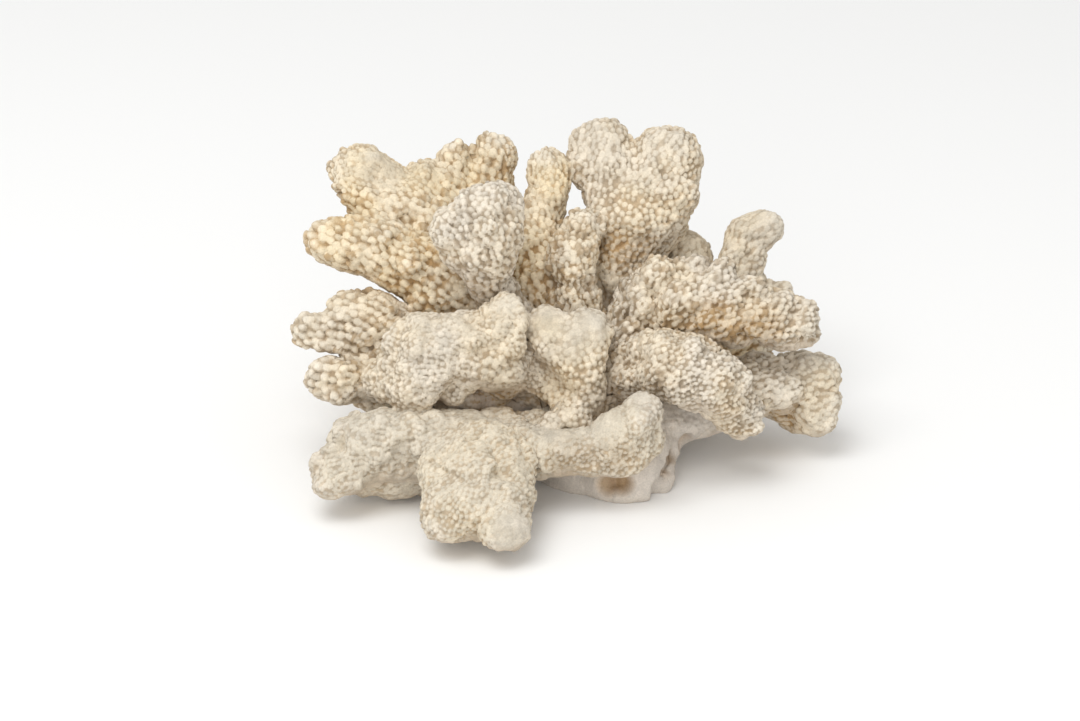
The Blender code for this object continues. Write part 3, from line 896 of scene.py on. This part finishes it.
def coralMaterial(name, plan):
    material = bpy.data.materials.new(name)
    material.use_nodes = True
    tree = material.node_tree
    shader = tree.nodes["Principled BSDF"]
    shader.inputs["Roughness"].default_value = plan["roughness"]
    shader.inputs["Specular IOR Level"].default_value = plan["specular"]
    place = tree.nodes.new("ShaderNodeTexCoord").outputs["Object"]

    def mark(attribute):
        return put(tree, "ShaderNodeAttribute", attribute_name=attribute).outputs["Fac"]

    def noise(scale, detail=2.0, roughness=0.5):
        inputs = {"Vector": place, "Scale": scale, "Detail": detail, "Roughness": roughness}
        return put(tree, "ShaderNodeTexNoise", inputs).outputs["Fac"]

    def blend(factor, first, second, kind="MIX"):
        node = put(tree, "ShaderNodeMix", data_type="RGBA", blend_type=kind)
        for socket, value in ((0, factor), (6, first), (7, second)):
            if isinstance(value, bpy.types.NodeSocket):
                tree.links.new(value, node.inputs[socket])
            elif isinstance(value, tuple):
                node.inputs[socket].default_value = (*value, 1)
            else:
                node.inputs[socket].default_value = value
        return node.outputs[2]

    edge = ramp(tree, mark("edge"), *plan["edge"])
    relief = mark("relief")
    openness = mark("open")
    patches = ramp(tree, noise(plan["patchScale"]), 0.35, 0.65,
                   -plan["patchWarmth"], plan["patchWarmth"])
    warmth = maths(tree, "ADD", mark("warm"), patches, clamp=True)
    colour = blend(warmth, plan["grey"], plan["warm"])
    colour = blend(maths(tree, "MULTIPLY", mark("tip"), plan["tipShare"]), colour, plan["tip"])
    dusty = ramp(tree, noise(plan["chalkScale"]), 0.3, 0.6, 0.5, 1.0)
    chalky = maths(tree, "MULTIPLY", mark("bare"), dusty)
    colour = blend(chalky, colour, plan["chalk"])

    # between the beads: tan colour, partly painted shade in the creases, fuller where the skin lies
    # shut from the light
    gap = maths(tree, "MULTIPLY", edge, maths(tree, "POWER", relief, 0.6))
    shut = maths(tree, "SUBTRACT", 1.0, openness)
    gap = maths(tree, "MULTIPLY", gap, ramp(tree, shut, *plan["shut"], plan["openGap"], 1.0))
    gap = maths(tree, "MULTIPLY", gap, plan["gapStrength"])
    colour = blend(gap, colour, blend(warmth, plan["greyGap"], plan["gap"]))
    # painted shade: brown where little light reaches the skin, joined with the shade-and-stain mark
    # from dressSkin, and weaker on the beads' tops
    shadeAndStainBrown = ramp(tree, openness, plan["deepFull"], plan["deepFrom"], 1.0, 0.0)
    shadeAndStainBrown = maths(tree, "MAXIMUM", shadeAndStainBrown, mark("shadeAndStain"))
    shadeAndStainBrown = maths(tree, "MULTIPLY", shadeAndStainBrown, ramp(tree, edge, 0.0, 1.0, plan["topShadeAndStain"], 1.0))
    colour = blend(shadeAndStainBrown, colour, plan["shadeAndStainBrown"])

    # each bead has its own tone, and all of it a fine speckle
    tone = ramp(tree, mark("bead"), 0.0, 1.0, *plan["beadTone"])
    speckle = ramp(tree, noise(plan["speckleScale"], 3.0, 0.7), 0.3, 0.7, *plan["speckle"])
    blotches = ramp(tree, noise(plan["blotchScale"], 3.0, 0.6), 0.3, 0.7, *plan["blotch"])
    tone = maths(tree, "MULTIPLY", maths(tree, "MULTIPLY", tone, speckle), blotches)
    tone = maths(tree, "MULTIPLY", tone, ramp(tree, relief, 0.0, 0.8, plan["bareTone"], 1.0))
    tree.links.new(scaled(tree, colour, tone), shader.inputs["Base Color"])

    # pores
    pores = put(tree, "ShaderNodeTexVoronoi", {"Vector": place, "Scale": 1 / (plan["poreMm"] * mm)})
    pit = ramp(tree, pores.outputs["Distance"], 0.05, 0.45)
    pit = maths(tree, "MULTIPLY", pit, plan["poreShare"])
    surface = maths(tree, "ADD", pit, noise(plan["gritScale"], 2.0, 0.7))
    bump = put(tree, "ShaderNodeBump", {
        "Height": surface, "Strength": plan["bumpStrength"],
        "Distance": plan["poreDepthMm"] * mm})
    tree.links.new(bump.outputs[0], shader.inputs["Normal"])
    return material


materials = {
    "coral": coralMaterial("bleachedCoral", coralPlan),
    "worn_coral": coralMaterial("wornCoral", wornPlan),
    "holdfast_chalk": coralMaterial("holdfastChalk", holdfastPlan),
}
dressSkin(skin)
growBeads(skin, materials["coral"])


# each branch's part of the whole becomes a closed piece of its own
def openRims(faces, count):
    # the edges that only one face uses, from point to point
    start = faces.astype(np.int64)
    end = np.roll(start, -1, axis=1)
    alone = ~np.isin((start * count + end).ravel(), (end * count + start).ravel())
    return start.ravel()[alone], end.ravel()[alone]


def rimNumbers(starts, ends, count):
    # gives every rim's points the same number
    number = np.arange(count)
    while True:
        before = number.copy()
        lower = np.minimum(number[starts], number[ends])
        np.minimum.at(number, starts, lower)
        np.minimum.at(number, ends, lower)
        if (number == before).all():
            return number[starts]


capPlan = {
    "insetMm": 1.8,             # how far the rim is tucked in before it is closed
    "stepMm": 5,                # grid of places tried for the cap's middle
    "steps": 2,
    "everyPoint": 8,            # every eighth point of the rim is tested
    "probes": (0.25, 0.5, 0.75, 1.0),
}


def capMiddle(rim, tree):
    # of the places around the rim's middle, the one whose straight ways to the rim stay inside best
    steps = np.arange(-capPlan["steps"], capPlan["steps"] + 1) * capPlan["stepMm"] * mm
    best = None
    for step in np.stack(np.meshgrid(steps, steps, steps), axis=-1).reshape(-1, 3):
        middle = rim.mean(axis=0) + step
        outside = 0
        for place in rim[::capPlan["everyPoint"]]:
            for share in capPlan["probes"]:
                probe = Vector(place + (middle - place) * share)
                near, facing = tree.find_nearest(probe)[:2]
                outside += max(0, (probe - near).dot(facing))
        if best is None or outside < best[0]:
            best = (outside, middle)
    return best[1]


def branchMesh(name, index, whole):
    used, faces = np.unique(whole["faces"][whole["owner"] == index], return_inverse=True)
    faces = faces.reshape(-1, 4)
    starts, ends = openRims(faces, len(used))
    rims = rimNumbers(starts, ends, len(used))
    roots = np.unique(rims)
    places = whole["places"][used]
    facing = whole["normals"][used]
    rimPoints, startSlots = np.unique(starts, return_inverse=True)
    endSlots = np.searchsorted(rimPoints, ends)
    tucked = places[rimPoints] - facing[rimPoints] * capPlan["insetMm"] * mm
    middles = [capMiddle(tucked[startSlots[rims == root]], whole["tree"]) for root in roots]
    middles = np.array(middles).reshape(-1, 3)
    walls = np.stack([ends, starts, startSlots + len(used), endSlots + len(used)], 1)
    middleSlots = np.searchsorted(roots, rims) + len(rimPoints)
    fans = np.stack([endSlots, startSlots, middleSlots], 1) + len(used)
    points = np.concatenate([places, tucked, middles])
    faces = np.concatenate([faces, walls])
    corners = np.concatenate([faces.ravel(), fans.ravel()])
    mesh = bpy.data.meshes.new(name)
    mesh.vertices.add(len(points))
    mesh.vertices.foreach_set("co", points.astype(np.float32).ravel())
    mesh.loops.add(len(corners))
    mesh.loops.foreach_set("vertex_index", corners.astype(np.int32))
    mesh.polygons.add(len(faces) + len(fans))
    firsts = np.concatenate([np.arange(len(faces)) * 4, faces.size + np.arange(len(fans)) * 3])
    mesh.polygons.foreach_set("loop_start", firsts.astype(np.int32))
    mesh.update(calc_edges=True)
    mesh.polygons.foreach_set("use_smooth", np.ones(len(mesh.polygons), bool))
    for key, values in whole["marks"].items():
        rest = np.zeros(len(middles), np.float32)
        addAttribute(mesh, key, np.concatenate([values[used], values[used][rimPoints], rest]))
    rest = np.zeros((len(tucked) + len(middles), 3))
    skinNormals = np.concatenate([facing, rest])[corners]
    skinNormals[(len(faces) - len(walls)) * 4:] = 0
    mesh.normals_split_custom_set(skinNormals.tolist())
    return mesh


def cutPieces(skin):
    mesh = skin.data
    whole = {
        "faces": arrayOf(mesh.loops, "vertex_index", 1, np.int32).reshape(-1, 4),
        "owner": arrayOf(mesh.attributes["owner"].data, "value", 1, np.int32),
        "places": arrayOf(mesh.vertices, "co", 3),
        "normals": arrayOf(mesh.vertices, "normal", 3),
        "marks": {key: arrayOf(mesh.attributes[key].data, "value")
                  for key in ("relief", "warm", "tip", "open", "bare", "shadeAndStain", "edge", "bead")},
    }
    whole["places"][:, 2] = np.maximum(whole["places"][:, 2], 0)
    whole["tree"] = BVHTree.FromPolygons(whole["places"].tolist(), whole["faces"].tolist())
    for index, name in enumerate(branchNames):
        piece = bpy.data.objects.new("coral_" + name, branchMesh("coral_" + name, index, whole))
        piece.data.materials.append(materials[slotOf[name]])
        bpy.context.scene.collection.objects.link(piece)
        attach(piece, "root")
        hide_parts(name)
    bpy.data.objects.remove(skin)
    print("pieces cut:", len(branchNames))


cutPieces(skin)


# the floor, the light and the camera
stagePlan = {
    "floorSizeM": 14.0,
    "floorColour": (0.93, 0.93, 0.92),
    "viewTiltDegrees": 25.0,
    "viewDistanceM": 1.5,
    "pictureWidthM": 0.4536,    # width of the picture at the coral
    "aimRightMm": -29.4,        # where the picture's middle looks, from the origin
    "aimUpMm": 46.8,
    "sensorMm": 36.0,
    "skyStrength": 0.66,
}

lightPlan = {
    # place in metres, size in metres, watts
    "topLight": ((-0.5, -0.7, 1.8), 1.2, 20),
    "frontLight": ((-0.2, -2.0, 0.8), 1.2, 9.5),
}


def setFloor():
    shape = bmesh.new()
    bmesh.ops.create_grid(shape, x_segments=2, y_segments=2, size=stagePlan["floorSizeM"] / 2)
    mesh = bpy.data.meshes.new("floor")
    shape.to_mesh(mesh)
    shape.free()
    floor = bpy.data.objects.new("floor", mesh)
    bpy.context.scene.collection.objects.link(floor)
    material = bpy.data.materials.new("paleFloor")
    material.use_nodes = True
    shader = material.node_tree.nodes["Principled BSDF"]
    shader.inputs["Base Color"].default_value = (*stagePlan["floorColour"], 1)
    shader.inputs["Roughness"].default_value = 0.9
    mesh.materials.append(material)


def setCamera():
    tilt = math.radians(stagePlan["viewTiltDegrees"])
    up = Vector((0, math.sin(tilt), math.cos(tilt)))
    back = Vector((0, -math.cos(tilt), math.sin(tilt)))
    aim = Vector((1, 0, 0)) * stagePlan["aimRightMm"] * mm + up * stagePlan["aimUpMm"] * mm
    lens = bpy.data.cameras.new("view")
    lens.sensor_width = stagePlan["sensorMm"]
    lens.lens = stagePlan["sensorMm"] * stagePlan["viewDistanceM"] / stagePlan["pictureWidthM"]
    camera = bpy.data.objects.new("view", lens)
    camera.location = aim + back * stagePlan["viewDistanceM"]
    camera.rotation_euler = back.to_track_quat("Z", "Y").to_euler()
    bpy.context.scene.collection.objects.link(camera)
    bpy.context.scene.camera = camera


def setLight():
    for name, (place, size, watts) in lightPlan.items():
        light = bpy.data.lights.new(name, "AREA")
        light.shape = "SQUARE"
        light.size = size
        light.energy = watts
        lamp = bpy.data.objects.new(name, light)
        lamp.location = place
        lamp.rotation_euler = Vector(place).to_track_quat("Z", "Y").to_euler()
        bpy.context.scene.collection.objects.link(lamp)
    world = bpy.data.worlds.new("studio")
    world.use_nodes = True
    world.node_tree.nodes["Background"].inputs["Color"].default_value = (1, 1, 1, 1)
    world.node_tree.nodes["Background"].inputs["Strength"].default_value = stagePlan["skyStrength"]
    bpy.context.scene.world = world
    bpy.context.scene.view_settings.view_transform = "Standard"


setFloor()
setCamera()
setLight()
